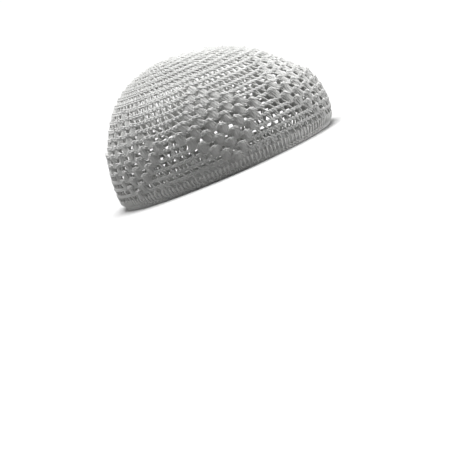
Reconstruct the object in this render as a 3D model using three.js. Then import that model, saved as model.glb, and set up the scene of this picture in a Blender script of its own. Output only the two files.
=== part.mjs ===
// Crocheted kufi: a white openwork skull cap with six raised diamonds round its side net.
// Millimetres, +Z up. The origin lies under the middle of the cap, on the surface that its rim rests on.
// The front is at -Y, so the cap is longest along Y.
import * as THREE from 'three';

// Driving dimensions: the outside of the cap at each height, front and back measured from the origin.
const SECTIONS = [
  { height: 0, front: 99, back: 102, half: 79 },
  { height: 8, front: 103.8, back: 105.6, half: 82.5 },
  { height: 20, front: 106.2, back: 105.8, half: 84.3 },
  { height: 36, front: 104.9, back: 104, half: 84.8 },
  { height: 52, front: 98, back: 99.4, half: 82.3 },
  { height: 68, front: 84.2, back: 91.8, half: 75.4 },
  { height: 82, front: 69.8, back: 82.6, half: 64.7 },
  { height: 94, front: 55, back: 71.2, half: 51.1 },
  { height: 103, front: 34.8, back: 57.5, half: 37.4 },
  { height: 108.6, front: 12.5, back: 41.5, half: 24.1 },
  { height: 111.4, front: -20, back: 20, half: 0 },
];
const LENGTH = 212;
const WIDTH = 169.6;

// The crochet: columns of cells round the cap, and rounds of cells from the band to the top.
const REPEATS = 6;
const REPEAT_COLUMNS = 13;
const COLUMNS = REPEATS * REPEAT_COLUMNS;
const SIDE_ROUNDS = 12;
const FIRST_DIAMOND = 7.6;
const COLUMN_LEAN = -0.1;
const DIAMOND_MIDDLE_ROUND = 6;

// Length up the side where each round ends, from round 0 at the band's top to the crown's last rounds.
const SIDE_ROUND_LENGTHS = [10.2, 16.3, 22.8, 29.7, 36.9, 44.4, 52.3, 60.1, 68, 75.9, 84, 92.4, 100.7];
const CROWN_ROUND_LENGTHS = [108.7, 116.4, 123.8, 131.2, 138.6, 146, 153.4];
const ROUND_LENGTHS = [...SIDE_ROUND_LENGTHS, ...CROWN_ROUND_LENGTHS];

// Thicknesses and clearances.
const NET_WALL = 2.4;
const NET_BAR = 5;
const PUFF_RISE = 2.6;
const PUFF_SLOPE = 1.1;
const BAND_WALL = 2.8;
const RIB_DEPTH = 1.1;
const RIBS = 78;
const EDGE_HEIGHT = 3.6;
const EDGE_WALL = 3;
const EDGE_BEVEL = 0.8;
const EDGE_COLUMNS = 60;
const PIECE_GAP = 0.3;

// Rows of gaps cut through the net, each with its first and last round and its gaps in one repeat.
const SIDE_GAPS = [
  { from: 0, to: 2, gaps: 4 },
  { from: 2, to: 4, gaps: 2 },
  { from: 4, to: 6, gaps: 1 },
  { from: 6, to: 8, gaps: 2 },
  { from: 8, to: 10, gaps: 3 },
  { from: 10, to: 12, gaps: 3 },
];
const CROWN_GAPS = [
  { from: 12, to: 14, gaps: 3 },
  { from: 14, to: 16, gaps: 2 },
];
const CROWN_BUTTON = { from: 16, to: 18, cells: 4 };

// Fineness of the worked-out curves, and how finely columns and rounds are told apart.
const MERIDIAN_STEPS = 600;
const COLUMN_STEP = 0.05;
const LENGTH_STEP = 0.4;
const KEY_SCALE = 1000;
const SAME_COLUMN = 0.002;

const WHITE_COTTON = 0xf2f0ea;
const NET_ROUGHNESS = 0.92;
const BAND_ROUGHNESS = 0.9;
const EDGE_ROUGHNESS = 0.88;

// A smooth curve through values at stations, each slope taken from both neighbours.
function smoothThrough(stations, values, lastSlope) {
  const last = values.length - 1;
  const rise = (i) => (values[i + 1] - values[i]) / (stations[i + 1] - stations[i]);
  const slopeAt = (i) => {
    if (i === 0) return rise(0);
    if (i === last) return lastSlope;
    const before = stations[i] - stations[i - 1];
    const after = stations[i + 1] - stations[i];
    return (rise(i - 1) * after + rise(i) * before) / (before + after);
  };
  const slopes = values.map((value, i) => slopeAt(i));
  return (station) => {
    let i = 0;
    while (i < last - 1 && station > stations[i + 1]) i += 1;
    const span = stations[i + 1] - stations[i];
    const t = (station - stations[i]) / span;
    const startWeight = (1 + 2 * t) * (1 - t) ** 2;
    const endWeight = t * t * (3 - 2 * t);
    const bend = t * (1 - t) * ((1 - t) * slopes[i] - t * slopes[i + 1]) * span;
    return startWeight * values[i] + endWeight * values[i + 1] + bend;
  };
}

// The profile as smooth curves over stations, which run up the mean outline of the cap.
function profileCurves() {
  const reach = (section) => (section.front + section.back) / 2;
  const stations = [0];
  for (let i = 1; i < SECTIONS.length; i += 1) {
    const rise = SECTIONS[i].height - SECTIONS[i - 1].height;
    const inward = reach(SECTIONS[i]) - reach(SECTIONS[i - 1]);
    stations.push(stations[i - 1] + Math.hypot(rise, inward));
  }
  const column = (name) => SECTIONS.map((section) => section[name]);
  const last = SECTIONS.length - 1;
  const lastSpan = stations[last] - stations[last - 1];
  const endSlope = (name) => (SECTIONS[last][name] - SECTIONS[last - 1][name]) / lastSpan;
  return {
    top: stations[last],
    height: smoothThrough(stations, column('height'), 0),
    front: smoothThrough(stations, column('front'), endSlope('front')),
    back: smoothThrough(stations, column('back'), endSlope('back')),
    half: smoothThrough(stations, column('half'), endSlope('half')),
  };
}

const PROFILE = profileCurves();

// Lengths measured up the middle of a side, from the rim to the top, with their stations and heights.
function sideMeridian() {
  const rows = [];
  let length = 0;
  for (let i = 0; i <= MERIDIAN_STEPS; i += 1) {
    const station = (PROFILE.top * i) / MERIDIAN_STEPS;
    const centre = (PROFILE.back(station) - PROFILE.front(station)) / 2;
    const here = new THREE.Vector3(PROFILE.half(station), centre, PROFILE.height(station));
    if (i > 0) length += here.distanceTo(rows[i - 1].here);
    rows.push({ length, station, height: here.z, here });
  }
  return rows;
}

const MERIDIAN = sideMeridian();
const MERIDIAN_LENGTH = MERIDIAN[MERIDIAN_STEPS].length;

// The station where a measure of the meridian, its length or height, has the given value.
function stationWhere(measure, value) {
  let i = 1;
  while (i < MERIDIAN_STEPS && MERIDIAN[i][measure] < value) i += 1;
  const low = MERIDIAN[i - 1];
  const high = MERIDIAN[i];
  const share = (value - low[measure]) / (high[measure] - low[measure]);
  return THREE.MathUtils.lerp(low.station, high.station, share);
}

// Angle from the front of a place counted in columns, so that columns are equally wide all round.
function angleOf(place) {
  const turn = (2 * Math.PI * place) / COLUMNS;
  const ovalness = (LENGTH - WIDTH) / (LENGTH + WIDTH);
  return turn + (ovalness / 2) * Math.sin(2 * turn);
}

// Half the length and width of the oval at a station, and how far back its centre lies.
function ovalAt(station) {
  const front = PROFILE.front(station);
  const back = PROFILE.back(station);
  return { long: (front + back) / 2, wide: PROFILE.half(station), centre: (back - front) / 2 };
}

function outsidePoint(place, station) {
  const oval = ovalAt(station);
  const angle = angleOf(place);
  const y = oval.centre - oval.long * Math.cos(angle);
  return new THREE.Vector3(oval.wide * Math.sin(angle), y, PROFILE.height(station));
}

// A point of the wall, at a length up the side meridian and a depth in from the outside.
function wallPoint(place, length, depth) {
  const bounded = Math.min(length, MERIDIAN_LENGTH - LENGTH_STEP / 4);
  const at = (column, up) => outsidePoint(column, stationWhere('length', up));
  const point = outsidePoint(place, stationWhere('length', Math.min(length, MERIDIAN_LENGTH)));
  const lower = at(place, Math.max(bounded - LENGTH_STEP, 0));
  const upper = at(place, bounded);
  const along = at(place + COLUMN_STEP, bounded).sub(at(place - COLUMN_STEP, bounded));
  const normal = along.cross(upper.sub(lower)).normalize();
  if (length >= MERIDIAN_LENGTH) normal.set(0, 0, 1);
  return point.addScaledVector(normal, -depth);
}

// Length up the side meridian at a round or part of a round.
function roundLength(round) {
  const below = Math.min(Math.max(Math.floor(round), 0), ROUND_LENGTHS.length - 2);
  return THREE.MathUtils.lerp(ROUND_LENGTHS[below], ROUND_LENGTHS[below + 1], round - below);
}

// Where a column's line stands at a round: the lines lean a little as they rise.
function placeOf(column, round) {
  return FIRST_DIAMOND + column + COLUMN_LEAN * round;
}

function netPoint(column, round, depth) {
  return wallPoint(placeOf(column, round), roundLength(round), depth);
}

// Collects triangles that share their corner points.
class Skin {
  constructor() {
    this.points = [];
    this.corners = [];
  }

  add(point) {
    this.points.push(point.x, point.y, point.z);
    return this.points.length / 3 - 1;
  }

  face(a, b, c, d) {
    this.corners.push(a, b, c);
    if (d !== undefined) this.corners.push(a, c, d);
  }

  mesh(name, roughness) {
    const shape = new THREE.BufferGeometry();
    shape.setAttribute('position', new THREE.Float32BufferAttribute(this.points, 3));
    shape.setIndex(this.corners);
    shape.computeVertexNormals();
    const finish = { color: WHITE_COTTON, roughness, metalness: 0 };
    const mesh = new THREE.Mesh(shape, new THREE.MeshStandardMaterial(finish));
    mesh.name = name;
    return mesh;
  }
}

// How many raised puffs a round of one diamond holds. Rounds are counted from the band.
function puffsIn(round) {
  const count = DIAMOND_MIDDLE_ROUND - Math.abs(round + 1 - DIAMOND_MIDDLE_ROUND);
  return Math.max(count, 0);
}

// One repeat of the side net: single cells where the diamond stands, and gaps in the field beside it.
function sidePatches(start) {
  const patches = [];
  for (const row of SIDE_GAPS) {
    const reach = Math.max(puffsIn(row.from), puffsIn(row.to - 1));
    for (let round = row.from; round < row.to; round += 1) {
      const puffs = puffsIn(round);
      for (let cell = 1 - reach; cell < reach; cell += 1) {
        const isPuff = Math.abs(cell) < puffs && (cell + puffs) % 2 !== 0;
        const kind = isPuff ? 'puff' : 'plain';
        const left = start + cell - 0.5;
        patches.push({ left, right: left + 1, from: round, to: round + 1, kind });
      }
    }
    patches.push(...gapPatches(row, start + reach - 0.5, start + REPEAT_COLUMNS - reach + 0.5));
  }
  return patches;
}

// A row's gaps, side by side between two columns.
function gapPatches(row, left, right) {
  const width = (right - left) / row.gaps;
  return Array.from({ length: row.gaps }, (unused, i) => (
    { left: left + i * width, right: left + (i + 1) * width, from: row.from, to: row.to, kind: 'gap' }
  ));
}

// One repeat of the crown: two rows of gaps, then the closed button round the top.
function crownPatches(start) {
  const patches = CROWN_GAPS.flatMap((row) => gapPatches(row, start, start + REPEAT_COLUMNS));
  const width = REPEAT_COLUMNS / CROWN_BUTTON.cells;
  for (let i = 0; i < CROWN_BUTTON.cells; i += 1) {
    const left = start + i * width;
    patches.push({ left, right: left + width, from: CROWN_BUTTON.from, to: CROWN_BUTTON.to, kind: 'plain' });
  }
  return patches;
}

// Rounds a column to a key that is the same all the way round.
function columnKey(column) {
  const turned = ((column % COLUMNS) + COLUMNS) % COLUMNS;
  return Math.round(turned * KEY_SCALE) % (COLUMNS * KEY_SCALE);
}

// A shell of patches with an outside, an inside, the walls of its gaps and its open edges.
class NetShell {
  constructor(patches, lowestLength, highestLength) {
    this.patches = patches;
    this.lowest = lowestLength;
    this.highest = highestLength;
    this.skin = new Skin();
    this.known = new Map();
    this.onRound = new Map();
    this.onColumn = new Map();
    for (const patch of patches) this.noteCorners(patch);
  }

  noteCorners({ left, right, from, to }) {
    for (const column of [left, right]) {
      for (const round of [from, to]) {
        if (!this.onRound.has(round)) this.onRound.set(round, new Set());
        this.onRound.get(round).add(columnKey(column));
        const key = columnKey(column);
        if (!this.onColumn.has(key)) this.onColumn.set(key, new Set());
        this.onColumn.get(key).add(round);
      }
    }
  }

  // Columns between two others where a round's line has corners, from left to right.
  columnsBetween(round, left, right) {
    const found = [];
    for (const key of this.onRound.get(round)) {
      const turns = Math.ceil((left - key / KEY_SCALE) / COLUMNS);
      const column = key / KEY_SCALE + turns * COLUMNS;
      if (column > left + SAME_COLUMN && column < right - SAME_COLUMN) found.push(column);
    }
    return found.sort((a, b) => a - b);
  }

  roundsBetween(column, from, to) {
    const rounds = [...this.onColumn.get(columnKey(column))];
    return rounds.filter((round) => round > from && round < to).sort((a, b) => a - b);
  }

  // The corners round a patch, anticlockwise from outside, each with its progress over the four sides.
  border({ left, right, from, to }) {
    const across = (column) => (column - left) / (right - left);
    const upward = (round) => (round - from) / (to - from);
    const corners = [{ column: left, round: from, progress: 0 }];
    for (const column of this.columnsBetween(from, left, right)) {
      corners.push({ column, round: from, progress: across(column) });
    }
    corners.push({ column: right, round: from, progress: 1 });
    for (const round of this.roundsBetween(right, from, to)) {
      corners.push({ column: right, round, progress: 1 + upward(round) });
    }
    corners.push({ column: right, round: to, progress: 2 });
    for (const column of this.columnsBetween(to, left, right).reverse()) {
      corners.push({ column, round: to, progress: 3 - across(column) });
    }
    corners.push({ column: left, round: to, progress: 3 });
    for (const round of this.roundsBetween(left, from, to).reverse()) {
      corners.push({ column: left, round, progress: 4 - upward(round) });
    }
    return corners;
  }

  lengthOf(round) {
    return THREE.MathUtils.clamp(roundLength(round), this.lowest, this.highest);
  }

  vertex(column, round, depth) {
    const key = `${columnKey(column)}/${Math.round(round * KEY_SCALE)}/${depth}`;
    if (!this.known.has(key)) {
      const point = wallPoint(placeOf(column, round), this.lengthOf(round), depth);
      this.known.set(key, this.skin.add(point));
    }
    return this.known.get(key);
  }

  // A patch's four corners moved in by a margin in millimetres.
  inset({ left, right, from, to }, margin, depth) {
    const corner = (column, round, inward, upward) => {
      const width = netPoint(column, round, 0).distanceTo(netPoint(column + inward, round, 0));
      const height = roundLength(round + upward) - roundLength(round);
      const movedColumn = column + (inward * margin) / width;
      const movedRound = round + (upward * margin) / Math.abs(height);
      return this.vertex(movedColumn, movedRound, depth);
    };
    const lower = [corner(left, from, 1, 1), corner(right, from, -1, 1)];
    const upper = [corner(right, to, -1, -1), corner(left, to, 1, -1)];
    return [...lower, ...upper];
  }

  // Triangles between a patch's border and four corners inside it.
  ringFaces(border, corners, depth, outward) {
    const outer = border.map(({ column, round }) => this.vertex(column, round, depth));
    let i = 0;
    let j = 0;
    while (i < outer.length || j < corners.length) {
      const nextOuter = i + 1 < outer.length ? border[i + 1].progress : 4;
      const nextInner = j + 1 < corners.length ? j + 1 : 4;
      const a = outer[i % outer.length];
      const c = corners[j % corners.length];
      if (j >= corners.length || (i < outer.length && nextOuter <= nextInner)) {
        this.turnedFace(outward, a, outer[(i + 1) % outer.length], c);
        i += 1;
      } else {
        this.turnedFace(outward, a, corners[(j + 1) % corners.length], c);
        j += 1;
      }
    }
  }

  turnedFace(outward, a, b, c) {
    if (outward) this.skin.face(a, b, c);
    else this.skin.face(a, c, b);
  }

  plainFaces(patch, border, depth, outward) {
    const outer = border.map(({ column, round }) => this.vertex(column, round, depth));
    if (outer.length === 4) {
      this.turnedFace(outward, outer[0], outer[1], outer[2]);
      this.turnedFace(outward, outer[0], outer[2], outer[3]);
      return;
    }
    const middle = this.vertex((patch.left + patch.right) / 2, (patch.from + patch.to) / 2, depth);
    outer.forEach((corner, i) => this.turnedFace(outward, corner, outer[(i + 1) % outer.length], middle));
  }

  addPatch(patch) {
    const border = this.border(patch);
    if (patch.kind === 'gap') {
      const outside = this.inset(patch, NET_BAR / 2, 0);
      const inside = this.inset(patch, NET_BAR / 2, NET_WALL);
      this.ringFaces(border, outside, 0, true);
      this.ringFaces(border, inside, NET_WALL, false);
      outside.forEach((corner, i) => {
        const next = (i + 1) % outside.length;
        this.skin.face(corner, outside[next], inside[next], inside[i]);
      });
      return;
    }
    this.plainFaces(patch, border, NET_WALL, false);
    if (patch.kind === 'plain') {
      this.plainFaces(patch, border, 0, true);
      return;
    }
    const raised = this.inset(patch, PUFF_SLOPE, -PUFF_RISE);
    this.ringFaces(border, raised, 0, true);
    this.skin.face(...raised);
  }

  columnsOn(round) {
    return [...this.onRound.get(round)].sort((a, b) => a - b).map((key) => key / KEY_SCALE);
  }

  // The open edge along a round, joined from the outside to the inside.
  addEdge(round, isTop) {
    const columns = this.columnsOn(round);
    columns.forEach((column, i) => {
      const next = columns[(i + 1) % columns.length];
      const [first, second] = isTop ? [column, next] : [next, column];
      const outside = [this.vertex(first, round, 0), this.vertex(second, round, 0)];
      const inside = [this.vertex(second, round, NET_WALL), this.vertex(first, round, NET_WALL)];
      this.skin.face(...outside, ...inside);
    });
  }

  // Closes the shell over its last round with a fan to the top of the cap.
  addTop(round) {
    const columns = this.columnsOn(round);
    for (const depth of [0, NET_WALL]) {
      const peak = this.skin.add(wallPoint(0, MERIDIAN_LENGTH, depth));
      columns.forEach((column, i) => {
        const here = this.vertex(column, round, depth);
        const next = this.vertex(columns[(i + 1) % columns.length], round, depth);
        this.turnedFace(depth === 0, here, next, peak);
      });
    }
  }
}

function repeated(patchesOf) {
  return Array.from({ length: REPEATS }, (unused, i) => patchesOf(i * REPEAT_COLUMNS)).flat();
}

// The side wall of net, from the band to the last round before the crown narrows.
function sideNet() {
  const highest = roundLength(SIDE_ROUNDS) - PIECE_GAP / 2;
  const shell = new NetShell(repeated(sidePatches), roundLength(0), highest);
  for (const patch of shell.patches) shell.addPatch(patch);
  shell.addEdge(0, false);
  shell.addEdge(SIDE_ROUNDS, true);
  return shell.skin.mesh('side_net', NET_ROUGHNESS);
}

// The domed top of net, which narrows round by round to its closed button.
function crownTop() {
  const lowest = roundLength(SIDE_ROUNDS) + PIECE_GAP / 2;
  const shell = new NetShell(repeated(crownPatches), lowest, MERIDIAN_LENGTH);
  for (const patch of shell.patches) shell.addPatch(patch);
  shell.addEdge(SIDE_ROUNDS, false);
  shell.addTop(CROWN_BUTTON.to);
  return shell.skin.mesh('crown_top', NET_ROUGHNESS);
}

// A point at a height on the cap, moved in level by an inset.
function levelPoint(place, height, inset) {
  const station = stationWhere('height', height);
  const oval = ovalAt(station);
  const angle = angleOf(place);
  const outward = new THREE.Vector3(Math.sin(angle) / oval.wide, -Math.cos(angle) / oval.long, 0);
  const point = outsidePoint(place, station).addScaledVector(outward.normalize(), -inset);
  return point.setZ(height);
}

// A closed ring whose section at each column is a loop of heights and insets, outside upward first.
function ringMesh(name, columns, sectionOf, roughness) {
  const skin = new Skin();
  const loops = Array.from({ length: columns }, (unused, i) => {
    const place = (COLUMNS * i) / columns;
    return sectionOf(i).map(({ height, inset }) => skin.add(levelPoint(place, height, inset)));
  });
  loops.forEach((loop, i) => {
    const nextLoop = loops[(i + 1) % columns];
    loop.forEach((corner, j) => {
      const up = (j + 1) % loop.length;
      skin.face(corner, nextLoop[j], nextLoop[up], loop[up]);
    });
  });
  return skin.mesh(name, roughness);
}

// The dense band of upright posts, ribbed on its outside.
function rimBand() {
  const bottom = EDGE_HEIGHT + PIECE_GAP;
  const top = PROFILE.height(stationWhere('length', roundLength(0))) - PIECE_GAP;
  const sectionOf = (i) => {
    const inset = i % 2 === 0 ? 0 : RIB_DEPTH;
    return [
      { height: bottom, inset },
      { height: top, inset },
      { height: top, inset: BAND_WALL },
      { height: bottom, inset: BAND_WALL },
    ];
  };
  return ringMesh('rim_band', 2 * RIBS, sectionOf, BAND_ROUGHNESS);
}

// The smooth closing row under the band, which stands flat on its underside.
function edgeRow() {
  const section = [
    { height: 0, inset: EDGE_BEVEL },
    { height: EDGE_BEVEL, inset: 0 },
    { height: EDGE_HEIGHT - EDGE_BEVEL, inset: 0 },
    { height: EDGE_HEIGHT, inset: EDGE_BEVEL },
    { height: EDGE_HEIGHT, inset: EDGE_WALL },
    { height: 0, inset: EDGE_WALL },
  ];
  return ringMesh('edge_row', EDGE_COLUMNS, () => section, EDGE_ROUGHNESS);
}

const kufi = new THREE.Group();
kufi.add(crownTop(), sideNet(), rimBand(), edgeRow());

export default kufi;
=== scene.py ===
# A white crocheted kufi: an openwork skull cap whose every round, post and puff stitch is real yarn.
# Lengths inside the stitch code are millimetres in the part's frame, and become metres in each mesh.
import math

import bpy
import numpy as np
from mathutils import Matrix, Vector


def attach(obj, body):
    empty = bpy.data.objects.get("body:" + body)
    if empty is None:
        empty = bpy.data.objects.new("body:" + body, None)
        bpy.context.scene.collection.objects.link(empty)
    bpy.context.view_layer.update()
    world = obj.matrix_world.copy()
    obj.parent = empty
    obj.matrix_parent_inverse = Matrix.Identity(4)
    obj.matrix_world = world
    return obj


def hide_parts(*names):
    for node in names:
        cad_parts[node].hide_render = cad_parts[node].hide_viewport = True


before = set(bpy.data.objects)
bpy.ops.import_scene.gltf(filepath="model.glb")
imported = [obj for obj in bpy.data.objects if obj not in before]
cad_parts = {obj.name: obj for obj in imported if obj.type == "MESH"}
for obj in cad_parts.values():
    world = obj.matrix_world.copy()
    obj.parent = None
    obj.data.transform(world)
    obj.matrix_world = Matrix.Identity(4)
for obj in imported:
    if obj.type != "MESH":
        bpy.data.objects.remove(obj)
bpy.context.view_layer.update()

MM = 0.001
RNG = np.random.default_rng(78)

# The outside of the cap at each height, front and back measured from the origin.
SECTION_COLUMNS = ("height", "front", "back", "half")
SECTIONS = np.array([
    (0.0, 99.0, 102.0, 79.0),
    (8.0, 103.8, 105.6, 82.5),
    (20.0, 106.2, 105.8, 84.3),
    (36.0, 104.9, 104.0, 84.8),
    (52.0, 98.0, 99.4, 82.3),
    (68.0, 84.2, 91.8, 75.4),
    (82.0, 69.8, 82.6, 64.7),
    (94.0, 55.0, 71.2, 51.1),
    (103.0, 34.8, 57.5, 37.4),
    (108.6, 12.5, 41.5, 24.1),
    (111.4, -20.0, 20.0, 0.0),
])
LENGTH = 212.0
WIDTH = 169.6
OVALNESS = (LENGTH - WIDTH) / (LENGTH + WIDTH)

# The crochet: columns of cells round the cap, and rounds of cells from the band to the top.
REPEATS = 6
REPEAT_COLUMNS = 13
COLUMNS = REPEATS * REPEAT_COLUMNS
SIDE_ROUNDS = 12
FIRST_DIAMOND = 7.6
COLUMN_LEAN = -0.1
DIAMOND_MIDDLE_ROUND = 6

# Length up the side where each round ends, from round 0 at the band's top to the ring at the middle.
SIDE_ROUND_LENGTHS = [10.2, 16.3, 22.8, 29.7, 36.9, 44.4, 52.3, 60.1, 68.0, 75.9, 84.0, 92.4, 100.7]
CROWN_ROUND_LENGTHS = [108.7, 116.4, 123.8, 131.2, 138.6, 146.0, 153.4, 160.6]
ROUND_LENGTHS = SIDE_ROUND_LENGTHS + CROWN_ROUND_LENGTHS
TOP_ROUND = len(ROUND_LENGTHS) - 1
CROWN_POSTS = [72, 66, 60, 54, 48, 42, 36, 18]

# How the rounds droop towards the back of the near side: places in columns, depth in millimetres.
DROOP = 2.2
DROOP_PLACE = 58.7
DROOP_RUN = 5.0
DROOP_REACH = 26.0
DROOP_LEAST = 0.6
DROOP_FULL_ROUND = 3

# How the rounds sag a little at the back of the far side.
SAG = 3.0
SAG_PLACE = 26.0
SAG_REACH = 14.0
SAG_FULL_ROUND = 2

# Over how many rounds below the crown the droop and the sag fade out.
FADE_ROUNDS = 4

# Chain rounds: plaits of three strands, which swing from side to side and lift where they cross.
PLAIT_STRANDS = 3
CHAIN_STEP = 1.1
CHAIN_LEAST_STEPS = 18
CHAIN_CYCLE = 11.6
CHAIN_LEAST_CYCLES = 2
CHAIN_YARN = 0.84
CHAIN_LIFT = 0.45
CHAIN_DEPTH = 1.15
CHAIN_SWING = 0.98
LOW_SWING = 0.92
CROWN_SWING = 1.5
CROWN_SWING_START = 8
CROWN_SWING_ROUNDS = 5
RING_SWING = 0.6
BAND_TOP_SWING = 0.45
BAND_TOP_YARN = 0.65
BAND_TOP_DEEPER = 0.7
LENGTH_WAVER = 0.2
LENGTH_SEED = 100
DEPTH_WAVER = 0.15
DEPTH_SEED = 200

# The gentle unevenness: how many waves it adds up, how often they turn, and how large it is.
WAVES = 5
WAVE_TURNS = (3, 22)
WAVE_SIZE = 0.8

# Posts of each kind: points along a strand, depth under the outside, the two strands' distance from the
# middle, the yarn's radius, turns of the twist, and how far it rises against how far it spreads.
POST_COLUMNS = ("points", "depth", "spread", "yarn", "turns", "rise")
POSTS = {
    "low": (9, 1.7, 1.15, 0.98, 0.6, 0.55),
    "side": (9, 1.7, 1.0, 0.9, 0.6, 0.55),
    "crown": (8, 1.9, 1.45, 1.05, 0.6, 0.3),
    "crown_back": (6, 2.2, 0.7, 0.72, 0.6, 0.3),
    "puff": (8, 1.4, 0.5, 0.76, 0.6, 0.55),
    "band": (10, 1.25, 0.55, 0.68, 0.5, 0.55),
    "band_back": (6, 2.2, 0.6, 0.66, 0.4, 0.55),
    "edge": (5, 1.35, 0.7, 0.72, 0.25, 0.55),
}
LOW_ROUNDS = 6
POST_STRANDS = 2
POST_WAIST = 0.7
POST_LEAN = 0.1
POST_OVERLAP = 0.6
SIDE_POST_JITTER = 0.025
CROWN_POST_JITTER = 0.04
CROWN_HEAD_OVERLAP = 0.3
SWELL_INSET = 0.02
SWELL_POWER = 0.75
SHIFT_POWER = 0.8

# Puffs: fans of bulging posts, and the chain that each pushes up and out.
PUFF_POSTS = 5
PUFF_REACH = 0.4
PUFF_FOOT = 0.36
PUFF_FOOT_OVERLAP = 0.2
PUFF_RISE = 1.4
PUFF_BELLY = 0.6
PUFF_ROUNDNESS = 0.8
PUFF_HEAD_SHARE = 0.8
PUFF_SIZE_JITTER = 0.06
PUFF_PLACE_JITTER = 0.03
UPPER_PUFFS = 0.65
ARCH_REACH = 0.62
ARCH_RISE = 1.5
ARCH_OUT = 2.3

# The band's tall stitches, and the edge under them.
BAND_POSTS = 2 * COLUMNS
BAND_START = 0.25
BAND_FOOT = 3.6
BAND_FOOT_OVERLAP = 0.3
BAND_HEAD_OVERLAP = 0.7
BAND_BULGE = 0.6
BAND_LEAN = -0.03
BAND_JITTER = 0.012
EDGE_TOP = 3.2
EDGE_BOTTOM = 0.62
EDGE_LEAN = 0.12
EDGE_DEPTH = 1.2

# The edge's two chains: length up the side, swing, lift and the yarn's radius.
EDGE_CHAINS = [
    (EDGE_TOP, 0.4, 0.25, 0.55),
    (EDGE_BOTTOM, 0.42, 0.3, 0.62),
]

# Fineness of the surface's table, and the small steps that tell its directions.
TABLE_STEPS = 3000
OVAL_STEPS = 180
NEAR_COLUMN = 0.05
NEAR_LENGTH = 0.4
TOP_MARGIN = 0.8
YARN_SIDES = 5
TINY = 1e-9


# The surface that the crochet lies in.
def smooth_through(stations, values, last_slope, at):
    """A smooth curve through values, each slope taken from both neighbours."""
    rise = np.diff(values) / np.diff(stations)
    span = np.diff(stations)
    inner = (rise[:-1] * span[1:] + rise[1:] * span[:-1]) / (span[1:] + span[:-1])
    slopes = np.concatenate([[rise[0]], inner, [last_slope]])
    i = np.clip(np.searchsorted(stations, at, side="left") - 1, 0, len(values) - 2)
    t = (at - stations[i]) / span[i]
    bend = t * (1 - t) * ((1 - t) * slopes[i] - t * slopes[i + 1]) * span[i]
    return (1 + 2 * t) * (1 - t) ** 2 * values[i] + t * t * (3 - 2 * t) * values[i + 1] + bend


def profile_table():
    """Rows of length up the side, height, half length, half width and centre of the oval."""
    column = {name: SECTIONS[:, i] for i, name in enumerate(SECTION_COLUMNS)}
    reach = (column["front"] + column["back"]) / 2
    stations = np.concatenate([[0], np.cumsum(np.hypot(np.diff(column["height"]), np.diff(reach)))])
    at = np.linspace(0, stations[-1], TABLE_STEPS)
    curve = {}
    for name, values in column.items():
        flat_top = name == "height"
        last_slope = 0 if flat_top else (values[-1] - values[-2]) / (stations[-1] - stations[-2])
        curve[name] = smooth_through(stations, values, last_slope, at)
    centre = (curve["back"] - curve["front"]) / 2
    steps = np.sqrt(np.diff(curve["half"]) ** 2 + np.diff(centre) ** 2 + np.diff(curve["height"]) ** 2)
    length = np.concatenate([[0], np.cumsum(steps)])
    return length, curve["height"], (curve["front"] + curve["back"]) / 2, curve["half"], centre


PROFILE_LENGTH, PROFILE_HEIGHT, PROFILE_LONG, PROFILE_WIDE, PROFILE_CENTRE = profile_table()
MERIDIAN = PROFILE_LENGTH[-1]


def outside(place, length):
    """Points on the outside of the cap, at places counted in columns and lengths up the side."""
    turn = 2 * np.pi * place / COLUMNS
    angle = turn + OVALNESS / 2 * np.sin(2 * turn)
    height = np.interp(length, PROFILE_LENGTH, PROFILE_HEIGHT)
    along = np.interp(length, PROFILE_LENGTH, PROFILE_LONG)
    wide = np.interp(length, PROFILE_LENGTH, PROFILE_WIDE)
    centre = np.interp(length, PROFILE_LENGTH, PROFILE_CENTRE)
    return np.stack([wide * np.sin(angle), centre - along * np.cos(angle), height], -1)


def unit(vectors):
    return vectors / np.maximum(np.linalg.norm(vectors, axis=-1, keepdims=True), TINY)


def wall(place, length):
    """Points of the outside, with unit vectors outward, round the cap and up the cap."""
    place, length = np.broadcast_arrays(place, length)
    bounded = np.clip(length, NEAR_LENGTH, MERIDIAN - TOP_MARGIN)
    point = outside(place, np.clip(length, 0, MERIDIAN))
    across = unit(outside(place + NEAR_COLUMN, bounded) - outside(place - NEAR_COLUMN, bounded))
    upward = unit(outside(place, bounded + NEAR_LENGTH) - outside(place, bounded - NEAR_LENGTH))
    return point, unit(np.cross(across, upward)), across, upward


def oval_length(length):
    """Distance round the cap at a length up the side."""
    points = outside(np.linspace(0, COLUMNS, OVAL_STEPS + 1), np.full(OVAL_STEPS + 1, length))
    return np.linalg.norm(np.diff(points, axis=0), axis=-1).sum()


# Places in the crochet.
def share(value):
    """A value kept between 0 and 1."""
    return min(max(value, 0), 1)


def away_from(place, middle):
    """Columns from a middle place to each place, the short way round."""
    return (place - middle + COLUMNS / 2) % COLUMNS - COLUMNS / 2


def window(place, middle, reach):
    """1 at a middle place, falling smoothly to 0 at the reach on both sides of it."""
    return np.cos(np.pi / 2 * np.clip(away_from(place, middle) / reach, -1, 1)) ** 2


def row_line(place, k):
    """Length up the side of round k's line at each place, with its droop and its sag."""
    fading = share((SIDE_ROUNDS - k) / FADE_ROUNDS)
    droop_share = DROOP_LEAST + (1 - DROOP_LEAST) * share(k / DROOP_FULL_ROUND)
    slope = np.tanh(away_from(place, DROOP_PLACE) / DROOP_RUN)
    droop = DROOP * slope * window(place, DROOP_PLACE, DROOP_REACH) * droop_share * fading
    sag = SAG * window(place, SAG_PLACE, SAG_REACH) * share(k / SAG_FULL_ROUND) * fading
    return ROUND_LENGTHS[k] + droop - sag


def place_of(column, k):
    return FIRST_DIAMOND + column + COLUMN_LEAN * k


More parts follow.
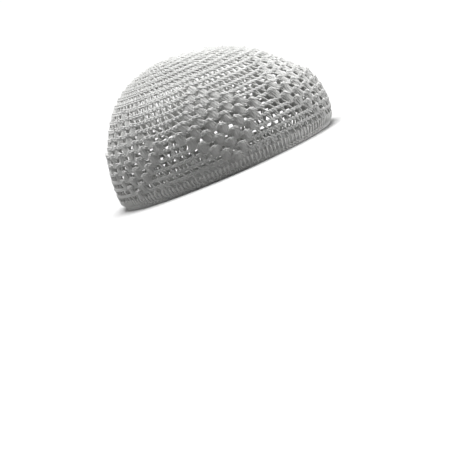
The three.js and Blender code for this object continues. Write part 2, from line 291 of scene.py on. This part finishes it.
def wave(place, seed):
    """A gentle unevenness round the cap, between about -1 and 1, the same each run."""
    rng = np.random.default_rng(seed)
    total = np.zeros_like(place, dtype=float)
    for _ in range(WAVES):
        turns = rng.integers(*WAVE_TURNS)
        total += np.sin(2 * np.pi * turns * place / COLUMNS + rng.uniform(0, 2 * np.pi)) / WAVES ** 0.5
    return total * WAVE_SIZE


def jitter(count, amount):
    return RNG.normal(0, amount, count)


# Meshes of yarn.
def yarn_rings(paths, outward, radius, closed):
    """Points of the rings round each strand: strands by points by sides by 3."""
    if closed:
        tangent = np.roll(paths, -1, 1) - np.roll(paths, 1, 1)
    else:
        tangent = np.gradient(paths, axis=1)
    tangent = unit(tangent)
    side = unit(np.cross(tangent, outward))
    up = np.cross(side, tangent)
    angles = 2 * np.pi * np.arange(YARN_SIDES) / YARN_SIDES
    ring = np.cos(angles)[:, None] * side[:, :, None] + np.sin(angles)[:, None] * up[:, :, None]
    return paths[:, :, None] + radius * ring


def yarn_runs(paths, closed):
    """Distance along the strand at the start and at the end of each of its spans."""
    spans = np.linalg.norm(np.diff(paths, axis=1), axis=-1)
    run = np.concatenate([np.zeros((len(paths), 1)), np.cumsum(spans, 1)], 1)
    if not closed:
        return run[:, :-1], run[:, 1:]
    last_span = np.linalg.norm(paths[:, 0] - paths[:, -1], axis=-1)
    return run, np.concatenate([run[:, 1:], run[:, -1:] + last_span[:, None]], 1)


def yarn_uvs(paths, closed):
    """The quads' UV corners: millimetres along the strand, and the share of the way round it."""
    start, end = yarn_runs(paths, closed)
    shape = (*start.shape, YARN_SIDES)
    u0 = np.broadcast_to(start[:, :, None], shape)
    u1 = np.broadcast_to(end[:, :, None], shape)
    v0 = np.broadcast_to(np.arange(YARN_SIDES) / YARN_SIDES, shape)
    v1 = v0 + 1 / YARN_SIDES
    corners = [np.stack(pair, -1) for pair in ((u0, v0), (u1, v0), (u1, v1), (u0, v1))]
    return np.stack(corners, -2).reshape(-1, 2)


class Yarn:
    """Collects round strands, and makes one mesh of them with the yarn's own UV map."""

    def __init__(self):
        self.points = []
        self.faces = []
        self.uvs = []
        self.count = 0

    def add(self, paths, outward, radius, closed=False):
        """Adds strands along paths, an array of strands by points by 3."""
        strands, steps = paths.shape[:2]
        count = strands * steps * YARN_SIDES
        ids = np.arange(count).reshape(strands, steps, YARN_SIDES) + self.count
        start = ids if closed else ids[:, :-1]
        end = np.roll(ids, -1, 1) if closed else ids[:, 1:]
        quads = np.stack([start, end, np.roll(end, -1, 2), np.roll(start, -1, 2)], -1)
        self.points.append(yarn_rings(paths, outward, radius, closed).reshape(-1, 3))
        self.faces.extend(quads.reshape(-1, 4).tolist())
        self.uvs.append(yarn_uvs(paths, closed))
        if not closed:
            self.add_ends(ids)
        self.count += count

    def add_ends(self, ids):
        """Closes the first and the last ring of each open strand."""
        self.faces.extend(ids[:, 0].tolist())
        self.faces.extend(ids[:, -1, ::-1].tolist())
        self.uvs.append(np.zeros((2 * len(ids) * YARN_SIDES, 2)))

    def build(self, name):
        mesh = bpy.data.meshes.new(name)
        mesh.from_pydata(np.concatenate(self.points) * MM, [], self.faces)
        mesh.polygons.foreach_set("use_smooth", np.ones(len(self.faces), bool))
        layer = mesh.uv_layers.new(name="yarn")
        layer.data.foreach_set("uv", np.concatenate(self.uvs).ravel())
        piece = bpy.data.objects.new(name, mesh)
        bpy.context.scene.collection.objects.link(piece)
        return piece


def add_plait(yarn, place, length, depth, cycles, swing, lift, radius):
    """Adds a closed round of chain: three strands that plait along the given places."""
    point, outward, _, upward = wall(place, length)
    base = point - depth[:, None] * outward
    turn = 2 * np.pi * cycles * np.arange(len(place)) / len(place)
    phases = turn + 2 * np.pi * np.arange(PLAIT_STRANDS)[:, None] / PLAIT_STRANDS
    sway = swing * np.sin(phases)[:, :, None] * upward
    raised = lift * np.sin(2 * phases)[:, :, None] * outward
    paths = base + sway + raised
    yarn.add(paths, np.broadcast_to(outward, paths.shape), radius, closed=True)


def add_posts(yarn, kind, foot, head, bulge=0.0, shift=0.0):
    """Adds posts of one kind from foot to head, each a pair of places and lengths up the side."""
    post = dict(zip(POST_COLUMNS, POSTS[kind]))
    t = np.linspace(0, 1, post["points"])[None]
    place = foot[0][:, None] * (1 - t) + head[0][:, None] * t
    length = foot[1][:, None] * (1 - t) + head[1][:, None] * t
    point, outward, across, _ = wall(place, length)
    swell = np.sin(np.pi * (t * (1 - 2 * SWELL_INSET) + SWELL_INSET)) ** SWELL_POWER
    lift = np.reshape(bulge, (-1, 1)) * swell - post["depth"]
    pushed = np.reshape(shift, (-1, 1)) * t ** SHIFT_POWER
    base = point + lift[:, :, None] * outward + pushed[:, :, None] * outward
    start = RNG.uniform(0, 2 * np.pi, (len(place), 1))
    gather = post["spread"] * (POST_WAIST + (1 - POST_WAIST) * np.sin(np.pi * t))
    for strand in range(POST_STRANDS):
        angle = start + 2 * np.pi * (post["turns"] * t + strand / POST_STRANDS)
        sway = (gather * np.cos(angle))[:, :, None] * across
        raised = (post["rise"] * gather * np.sin(angle))[:, :, None] * outward
        yarn.add(base + sway + raised, outward, post["yarn"])


# The stitch plan.
def puffs_in(k):
    """How many puffs one diamond has in the round above line k."""
    return max(DIAMOND_MIDDLE_ROUND - abs(k + 1 - DIAMOND_MIDDLE_ROUND), 0)


def puff_strength(k):
    """How strongly the puffs in the round above line k stand out."""
    return 1 if k < DIAMOND_MIDDLE_ROUND else UPPER_PUFFS


def puff_columns(k):
    """Middle columns of all puffs in the round above line k, round the whole cap."""
    count = puffs_in(k)
    cells = 2 * np.arange(count) - (count - 1)
    starts = REPEAT_COLUMNS * np.arange(REPEATS)
    return (starts[:, None] + cells[None]).ravel().astype(float)


def arch_over(place, k):
    """How far each place of line k + 1 is pushed up by a puff below it, from 0 to 1."""
    pushed = np.zeros_like(place)
    for column in puff_columns(k):
        away = away_from(place, place_of(column, k + 1))
        near = np.abs(away) < ARCH_REACH
        pushed[near] = np.maximum(pushed[near], np.cos(np.pi / 2 * away[near] / ARCH_REACH))
    return pushed * puff_strength(k)


def chain_swing(k):
    """How far round k's strands swing from side to side, more towards the crown."""
    if k == 0:
        return BAND_TOP_SWING
    if k == TOP_ROUND:
        return RING_SWING
    if k < LOW_ROUNDS:
        return LOW_SWING
    crown_share = share((k - CROWN_SWING_START) / CROWN_SWING_ROUNDS)
    return CHAIN_SWING + (CROWN_SWING - CHAIN_SWING) * crown_share


def add_chain_line(yarn, k):
    distance = oval_length(ROUND_LENGTHS[k])
    steps = max(round(distance / CHAIN_STEP), CHAIN_LEAST_STEPS)
    cycles = max(round(distance / CHAIN_CYCLE), CHAIN_LEAST_CYCLES)
    place = COLUMNS * np.arange(steps) / steps
    length = row_line(place, k) + LENGTH_WAVER * wave(place, LENGTH_SEED + k)
    depth = CHAIN_DEPTH + DEPTH_WAVER * wave(place, DEPTH_SEED + k)
    radius = CHAIN_YARN
    if k == 0:
        depth = depth + BAND_TOP_DEEPER
        radius = BAND_TOP_YARN
    elif k <= SIDE_ROUNDS:
        pushed = arch_over(place, k - 1)
        length = length + ARCH_RISE * pushed
        depth = depth - ARCH_OUT * pushed
    add_plait(yarn, place, length, depth, cycles, chain_swing(k), CHAIN_LIFT, radius)


def chain_rounds(name, first, last):
    yarn = Yarn()
    for k in range(first, last + 1):
        add_chain_line(yarn, k)
    return yarn.build(name)


def side_posts():
    """Posts at the cells' borders, behind the puffs too."""
    yarn = Yarn()
    borders = np.arange(COLUMNS) + 0.5
    for k in range(SIDE_ROUNDS):
        below = place_of(borders, k) + POST_LEAN / 2 + jitter(COLUMNS, SIDE_POST_JITTER)
        above = place_of(borders, k + 1) - POST_LEAN / 2 + jitter(COLUMNS, SIDE_POST_JITTER)
        foot = (below, row_line(below, k) - POST_OVERLAP)
        head = (above, row_line(above, k + 1) + POST_OVERLAP)
        add_posts(yarn, "low" if k < LOW_ROUNDS else "side", foot, head)
    return yarn.build("side_posts")


def crown_posts():
    """Posts of the crown's rounds, with a thinner layer at half pitch behind them."""
    yarn = Yarn()
    for k, count in enumerate(CROWN_POSTS, SIDE_ROUNDS):
        pitch = COLUMNS / count
        borders = COLUMNS * (np.arange(count) + 0.5) / count
        lean = POST_LEAN * pitch / 2
        below = place_of(borders, k) + lean + jitter(count, CROWN_POST_JITTER)
        above = place_of(borders, k + 1) - lean + jitter(count, CROWN_POST_JITTER)
        start = np.full(count, ROUND_LENGTHS[k] - POST_OVERLAP)
        end = np.full(count, ROUND_LENGTHS[k + 1] + CROWN_HEAD_OVERLAP)
        add_posts(yarn, "crown", (below, start), (above, end))
        add_posts(yarn, "crown_back", (below + pitch / 2, start), (above + pitch / 2, end))
    return yarn.build("crown_posts")


def add_puffs(yarn, k):
    """Adds the puffs in the round above line k, post by post of each fan."""
    columns = puff_columns(k)
    size = 1 + jitter(len(columns), PUFF_SIZE_JITTER)
    turn = jitter(len(columns), PUFF_PLACE_JITTER)
    for across in np.linspace(-1, 1, PUFF_POSTS):
        below = place_of(columns, k) + PUFF_FOOT * across * size + turn
        above = place_of(columns, k + 1) + PUFF_REACH * across * size
        crest = np.cos(np.pi / 2 * across * PUFF_ROUNDNESS) * puff_strength(k)
        foot = (below, row_line(below, k) - PUFF_FOOT_OVERLAP)
        head = (above, row_line(above, k + 1) + ARCH_RISE * crest * PUFF_HEAD_SHARE)
        shift = PUFF_RISE * size * crest
        add_posts(yarn, "puff", foot, head, bulge=PUFF_BELLY * size * crest, shift=shift)


def diamond_puffs():
    """Raised puffs, each under its pushed-up stretch of chain."""
    yarn = Yarn()
    for k in range(SIDE_ROUNDS):
        if puffs_in(k):
            add_puffs(yarn, k)
    return yarn.build("diamond_puffs")


def band_places():
    return COLUMNS * (np.arange(BAND_POSTS) + BAND_START) / BAND_POSTS


def band_posts():
    """The dense row of tall stitches round the rim, with a second layer at half pitch behind it."""
    yarn = Yarn()
    half_pitch = COLUMNS / BAND_POSTS / 2
    below = band_places() + jitter(BAND_POSTS, BAND_JITTER)
    above = band_places() + BAND_LEAN + jitter(BAND_POSTS, BAND_JITTER)
    start = np.full(BAND_POSTS, BAND_FOOT - BAND_FOOT_OVERLAP)
    end = np.full(BAND_POSTS, ROUND_LENGTHS[0])
    add_posts(yarn, "band", (below, start), (above, end + BAND_HEAD_OVERLAP), bulge=BAND_BULGE)
    add_posts(yarn, "band_back", (below + half_pitch, start), (above + half_pitch, end))
    return yarn.build("band_posts")


def edge_rows():
    """The closing rows under the band: a chain, short upright stitches and the edge chain."""
    yarn = Yarn()
    distance = oval_length(EDGE_TOP)
    steps = round(distance / CHAIN_STEP)
    cycles = round(distance / CHAIN_CYCLE)
    place = COLUMNS * np.arange(steps) / steps
    even = np.ones(steps)
    depth = EDGE_DEPTH * even
    for length, swing, lift, radius in EDGE_CHAINS:
        add_plait(yarn, place, length * even, depth, cycles, swing, lift, radius)
    foot = (band_places(), np.full(BAND_POSTS, EDGE_BOTTOM))
    head = (band_places() + EDGE_LEAN, np.full(BAND_POSTS, EDGE_TOP))
    add_posts(yarn, "edge", foot, head)
    return yarn.build("edge_rows")


# Cotton: colour and roughness for each slot, then the numbers that all its yarn shares. All three slots
# are the same white cotton, and their colours hold painted shading: the net is painted darker, as
# painted shade over the cap's sides and crown, and the band and the edge are painted lighter, as
# painted light against the shade near the floor.
COTTONS_WITH_PAINTED_SHADING = {
    # Painted shade: the net's white cotton darkened.
    "net": ((0.64, 0.64, 0.631), 0.85),
    # Painted light: the band's and the edge's white cotton lightened against the shade near the floor.
    "band": ((0.85, 0.85, 0.838), 0.85),
    "edge": ((0.9, 0.9, 0.887), 0.8),
}
COTTON_VALUES = {
    "Specular IOR Level": 0.25,
    "Sheen Weight": 0.25,
    "Sheen Roughness": 0.5,
    "Subsurface Weight": 0.15,
    "Subsurface Radius": (1, 1, 1),
    "Subsurface Scale": 0.0015,
}
PATCH_SCALE = 45
PATCH_DETAIL = 3
PATCH_SHADE = 0.93
PATCH_EDGES = (0.3, 0.7)
PLIES = 2
PLY_LAY = 1.7
PLY_STRENGTH = 0.5
PLY_DEPTH = 0.00012
FIBRE_SCALE = 1500
FIBRE_DETAIL = 2
FIBRE_STRENGTH = 0.35
FIBRE_DEPTH = 0.0002


def add_node(tree, kind, values, sources):
    """A new node, with some inputs set to values and some fed by other nodes' outputs."""
    node = tree.nodes.new(kind)
    for socket, value in values.items():
        node.inputs[socket].default_value = value
    for socket, output in sources.items():
        tree.links.new(output, node.inputs[socket])
    return node


def add_math(tree, operation, *terms):
    """The output of a math node, whose terms are numbers or other nodes' outputs."""
    node = tree.nodes.new("ShaderNodeMath")
    node.operation = operation
    for i, term in enumerate(terms):
        if isinstance(term, float):
            node.inputs[i].default_value = term
        else:
            tree.links.new(term, node.inputs[i])
    return node.outputs[0]


def patch_colour(tree, place, tint_with_painted_shading):
    """The yarn's colour, in faint patches of two close shades."""
    values = {"Scale": PATCH_SCALE, "Detail": PATCH_DETAIL}
    noise = add_node(tree, "ShaderNodeTexNoise", values, {"Vector": place})
    ramp = add_node(tree, "ShaderNodeValToRGB", {}, {"Fac": noise.outputs["Fac"]})
    dark, light = ramp.color_ramp.elements
    dark.position, light.position = PATCH_EDGES
    dark.color = (*[channel * PATCH_SHADE for channel in tint_with_painted_shading], 1)
    light.color = (*tint_with_painted_shading, 1)
    return ramp.outputs["Color"]


def ply_normal(tree):
    """Bumps of the plies, which wind along each strand in its own UV map."""
    yarn_map = tree.nodes.new("ShaderNodeUVMap")
    yarn_map.uv_map = "yarn"
    split = add_node(tree, "ShaderNodeSeparateXYZ", {}, {"Vector": yarn_map.outputs["UV"]})
    lay = add_math(tree, "MULTIPLY", split.outputs["X"], 2 * math.pi / PLY_LAY)
    spin = add_math(tree, "MULTIPLY_ADD", split.outputs["Y"], 2 * math.pi * PLIES, lay)
    values = {"Strength": PLY_STRENGTH, "Distance": PLY_DEPTH}
    bump = add_node(tree, "ShaderNodeBump", values, {"Height": add_math(tree, "SINE", spin)})
    return bump.outputs["Normal"]


def fibre_normal(tree, place, normal):
    """Fine bumps of loose fibres over another normal."""
    values = {"Scale": FIBRE_SCALE, "Detail": FIBRE_DETAIL}
    noise = add_node(tree, "ShaderNodeTexNoise", values, {"Vector": place})
    values = {"Strength": FIBRE_STRENGTH, "Distance": FIBRE_DEPTH}
    sources = {"Height": noise.outputs["Fac"], "Normal": normal}
    return add_node(tree, "ShaderNodeBump", values, sources).outputs["Normal"]


def cotton(name, tint_with_painted_shading, roughness):
    """White cotton yarn: twisted plies along each strand, fine fibres and a faint sheen; its tint is
    darkened as painted shade for the net and lightened as painted light for the band and edge.
    """
    material = bpy.data.materials.new(name)
    material.use_nodes = True
    tree = material.node_tree
    shader = tree.nodes["Principled BSDF"]
    shader.inputs["Roughness"].default_value = roughness
    for socket, value in COTTON_VALUES.items():
        shader.inputs[socket].default_value = value
    place = tree.nodes.new("ShaderNodeTexCoord").outputs["Object"]
    tree.links.new(patch_colour(tree, place, tint_with_painted_shading), shader.inputs["Base Color"])
    tree.links.new(fibre_normal(tree, place, ply_normal(tree)), shader.inputs["Normal"])
    return material


# Camera, lights and floor.
CAMERA_ELEVATION = math.radians(8.5)
CAMERA_ROLL = math.radians(23.405)
CAMERA_DISTANCE = 1.5
CAMERA_TARGET = Vector((0, 0, 0.055))
CAMERA_RIGHT_SHIFT = 0.01777
CAMERA_DOWN_SHIFT = 0.1058
CAMERA_LENS = 131.9
CAMERA_SENSOR = 36
CAMERA_FAR = 200

SUN_COLUMNS = ("name", "towards", "strength", "spread")
SUNS = [
    ("overhead", (-0.03, 0.07, -1), 4.55, 38),
    ("near_fill", (1, 0.1, 0.0), 0.1, 60),
    ("far_front", (0.02, 0.9, -0.18), 2.38, 40),
    ("far_back", (-0.15, -0.9, -0.35), 1.06, 40),
]
INNER_LIGHT_WATTS = 0.05
INNER_LIGHT_SIZE = 0.08
INNER_LIGHT_PLACE = (0, 0.005, 0.035)

FLOOR_HALF = 60
FLOOR_ROUGHNESS = 0.9
FLOOR_GLOSS = 0.1
FLOOR_SEEN = 0.62
FLOOR_SENT_BACK = 0.37
WHITE = (1, 1, 1, 1)
WORLD_FILL = 0.1
WORLD_SEEN = 1.05
VIEW_GAMMA = 0.78


def add_camera():
    """The photograph's view of the cap: the side at -X, a little from above, tilted in the frame."""
    back = Vector((-math.cos(CAMERA_ELEVATION), 0, math.sin(CAMERA_ELEVATION)))
    level_up = Vector((math.sin(CAMERA_ELEVATION), 0, math.cos(CAMERA_ELEVATION)))
    level_right = Vector((0, -1, 0))
    right = math.cos(CAMERA_ROLL) * level_right - math.sin(CAMERA_ROLL) * level_up
    up = math.sin(CAMERA_ROLL) * level_right + math.cos(CAMERA_ROLL) * level_up
    data = bpy.data.cameras.new("camera")
    data.lens = CAMERA_LENS
    data.sensor_width = CAMERA_SENSOR
    data.clip_end = CAMERA_FAR
    camera = bpy.data.objects.new("camera", data)
    bpy.context.scene.collection.objects.link(camera)
    turned = Matrix((right, up, back)).transposed().to_4x4()
    place = CAMERA_TARGET + CAMERA_DISTANCE * back + CAMERA_RIGHT_SHIFT * right - CAMERA_DOWN_SHIFT * up
    camera.matrix_world = Matrix.Translation(place) @ turned
    bpy.context.scene.camera = camera


def add_sun(name, towards, strength, spread):
    """A soft distant light that shines towards a direction, as wide as its spread in degrees."""
    data = bpy.data.lights.new(name, "SUN")
    data.energy = strength
    data.angle = math.radians(spread)
    light = bpy.data.objects.new(name, data)
    light.rotation_mode = "QUATERNION"
    light.rotation_quaternion = Vector(towards).to_track_quat("-Z", "Y")
    bpy.context.scene.collection.objects.link(light)


def add_inner_light():
    """A soft light inside the cap, which shines up and softens the shade in the crown's gaps."""
    data = bpy.data.lights.new("inner", "AREA")
    data.shape = "DISK"
    data.size = INNER_LIGHT_SIZE
    data.energy = INNER_LIGHT_WATTS
    light = bpy.data.objects.new("inner", data)
    light.location = INNER_LIGHT_PLACE
    light.rotation_euler = (math.pi, 0, 0)
    light.visible_camera = False
    bpy.context.scene.collection.objects.link(light)


def add_lights():
    add_inner_light()
    for row in SUNS:
        add_sun(**dict(zip(SUN_COLUMNS, row)))


def mix_for_camera(tree, others, seen):
    """One shader for what the camera sees, and another for the light that reaches the cap."""
    path = tree.nodes.new("ShaderNodeLightPath")
    sources = {"Fac": path.outputs["Is Camera Ray"], 1: others, 2: seen}
    return add_node(tree, "ShaderNodeMixShader", {}, sources).outputs["Shader"]


def floor_material():
    """Plain white, sending back a little less light than it shows."""
    material = bpy.data.materials.new("floor_white")
    material.use_nodes = True
    tree = material.node_tree
    seen = tree.nodes["Principled BSDF"]
    seen.inputs["Base Color"].default_value = (FLOOR_SEEN, FLOOR_SEEN, FLOOR_SEEN, 1)
    seen.inputs["Roughness"].default_value = FLOOR_ROUGHNESS
    seen.inputs["Specular IOR Level"].default_value = FLOOR_GLOSS
    sent_back = tree.nodes.new("ShaderNodeBsdfDiffuse")
    sent_back.inputs["Color"].default_value = (FLOOR_SENT_BACK, FLOOR_SENT_BACK, FLOOR_SENT_BACK, 1)
    surface = mix_for_camera(tree, sent_back.outputs["BSDF"], seen.outputs["BSDF"])
    tree.links.new(surface, tree.nodes["Material Output"].inputs["Surface"])
    return material


def add_floor():
    half = FLOOR_HALF
    corners = [(-half, -half, 0), (half, -half, 0), (half, half, 0), (-half, half, 0)]
    mesh = bpy.data.meshes.new("floor")
    mesh.from_pydata(corners, [], [(0, 1, 2, 3)])
    floor = bpy.data.objects.new("floor", mesh)
    bpy.context.scene.collection.objects.link(floor)
    mesh.materials.append(floor_material())


def add_world():
    """White to look at, and a weak even fill for the object."""
    world = bpy.data.worlds.new("studio")
    bpy.context.scene.world = world
    world.use_nodes = True
    tree = world.node_tree
    fill = tree.nodes["Background"]
    fill.inputs["Color"].default_value = WHITE
    fill.inputs["Strength"].default_value = WORLD_FILL
    seen = add_node(tree, "ShaderNodeBackground", {"Color": WHITE, "Strength": WORLD_SEEN}, {})
    surface = mix_for_camera(tree, fill.outputs["Background"], seen.outputs["Background"])
    tree.links.new(surface, tree.nodes["World Output"].inputs["Surface"])


def dress(piece, node, slot):
    """Gives a piece its cotton, and says which body it rides on and which node it replaces."""
    piece.data.materials.append(MATERIALS[slot])
    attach(piece, "root")
    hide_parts(node)


add_camera()
MATERIALS = {slot: cotton(slot + "_cotton", *values) for slot, values in COTTONS_WITH_PAINTED_SHADING.items()}
dress(chain_rounds("crown_rounds", SIDE_ROUNDS + 1, TOP_ROUND), "crown_top", "net")
dress(crown_posts(), "crown_top", "net")
dress(chain_rounds("lower_side_rounds", 0, LOW_ROUNDS), "side_net", "net")
dress(chain_rounds("upper_side_rounds", LOW_ROUNDS + 1, SIDE_ROUNDS), "side_net", "net")
dress(side_posts(), "side_net", "net")
dress(diamond_puffs(), "side_net", "net")
dress(band_posts(), "rim_band", "band")
dress(edge_rows(), "edge_row", "edge")

add_floor()
add_world()
add_lights()
bpy.context.scene.view_settings.view_transform = "Standard"
bpy.context.scene.view_settings.gamma = VIEW_GAMMA
